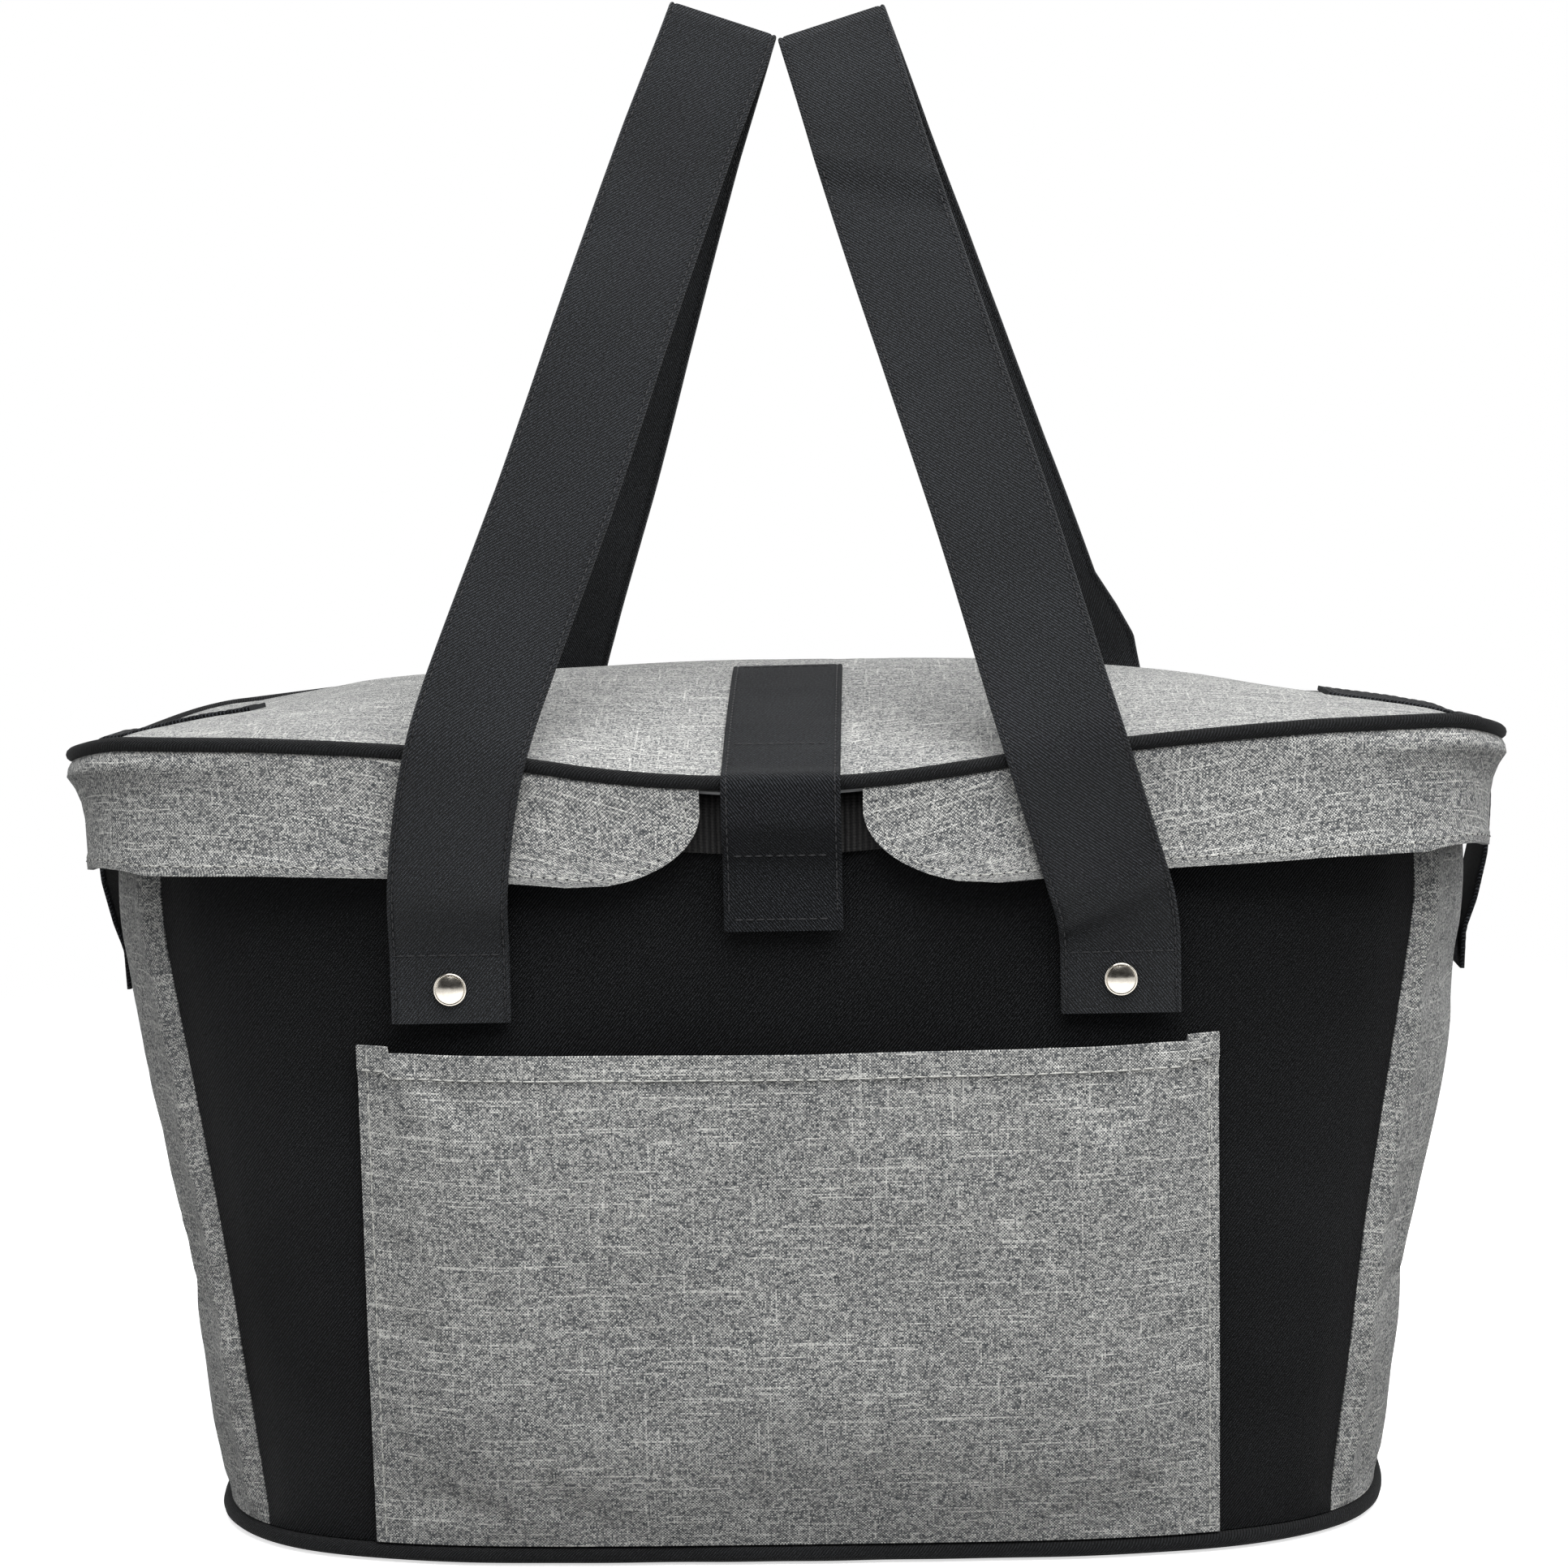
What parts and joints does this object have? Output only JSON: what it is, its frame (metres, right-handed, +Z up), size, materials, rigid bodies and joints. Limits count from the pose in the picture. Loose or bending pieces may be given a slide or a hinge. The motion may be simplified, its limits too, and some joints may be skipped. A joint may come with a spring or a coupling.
{
  "type": "cooler bag",
  "caption": "Soft insulated cooler bag with a tapered fabric body, a patch pocket, a hinged crowned lid with closure tabs, and riveted carry straps.",
  "frame": {"origin": "middle of the base on the floor", "axes": "+Z up, the front with its pocket faces -Y, +X to the right seen from the front"},
  "size_m": [0.4582, 0.2716, 0.4867],
  "materials": {
    "fabric_black": "fine black woven fabric",
    "piping": "black corded piping",
    "fabric_grey": "grey melange woven fabric with light slubs",
    "foam": "white closed-cell foam",
    "liner": "pale wipe-clean film",
    "board": "grey stiffener sheet",
    "hook_loop": "black hook and loop strip",
    "nickel": "polished nickel"
  },
  "bodies": {
    "body": {"base_panel": "fabric_black", "base_piping": "piping", "base_board": "board", "base_foam": "foam", "front_panel": "fabric_black", "rear_panel": "fabric_black", "left_gusset": "fabric_grey", "right_gusset": "fabric_grey", "front_foam": "foam", "rear_foam": "foam", "left_foam": "foam", "right_foam": "foam", "liner_tub": "liner", "rim_binding": "fabric_black", "front_pocket": "fabric_grey", "front_loop_patch": "hook_loop", "left_loop_patch": "hook_loop", "right_loop_patch": "hook_loop", "hinge_tape": "fabric_black", "rivet_front_left": "nickel", "rivet_front_right": "nickel", "rivet_rear_left": "nickel", "rivet_rear_right": "nickel"},
    "lid": {"lid_top": "fabric_grey", "lid_foam": "foam", "lid_liner": "liner", "lid_piping": "piping", "skirt_front_left": "fabric_grey", "skirt_front_right": "fabric_grey", "skirt_rear_left": "fabric_grey", "skirt_rear_right": "fabric_grey", "front_tab_anchor": "fabric_black", "left_tab_anchor": "fabric_black", "right_tab_anchor": "fabric_black"},
    "front_tab": {"front_tab": "fabric_black", "front_tab_hook": "hook_loop"},
    "left_tab": {"left_tab": "fabric_black", "left_tab_hook": "hook_loop"},
    "right_tab": {"right_tab": "fabric_black", "right_tab_hook": "hook_loop"},
    "left_strap": {"left_strap": "fabric_black"},
    "right_strap": {"right_strap": "fabric_black"}
  },
  "joints": [
    {"name": "lid_hinge", "type": "hinge", "parent": "body", "child": "lid", "pos_m": [0, 0.13, 0.2504], "axis": [-1, 0, 0], "range_deg": [0, 105], "deforming": ["left_strap", "right_strap"]},
    {"name": "front_tab_hinge", "type": "hinge", "parent": "lid", "child": "front_tab", "pos_m": [0, -0.1344, 0.2428], "axis": [-1, 0, 0], "range_deg": [0, 150]},
    {"name": "left_tab_hinge", "type": "hinge", "parent": "lid", "child": "left_tab", "pos_m": [-0.2279, 0, 0.25354], "axis": [0, 1, 0], "range_deg": [0, 150]},
    {"name": "right_tab_hinge", "type": "hinge", "parent": "lid", "child": "right_tab", "pos_m": [0.2279, 0, 0.25354], "axis": [0, -1, 0], "range_deg": [0, 150]},
    {"name": "left_strap_swing", "type": "hinge", "parent": "body", "child": "left_strap", "pos_m": [-0.1016, 0, 0.1835], "axis": [0, -1, 0], "range_deg": [0, 130]},
    {"name": "right_strap_swing", "type": "hinge", "parent": "body", "child": "right_strap", "pos_m": [0.1016, 0, 0.1835], "axis": [0, 1, 0], "range_deg": [0, 130]}
  ],
  "couplings": [
    {"joint": "left_strap_swing", "follows": "lid_hinge", "ratio": 1.2},
    {"joint": "right_strap_swing", "follows": "lid_hinge", "ratio": 1.2}
  ]
}
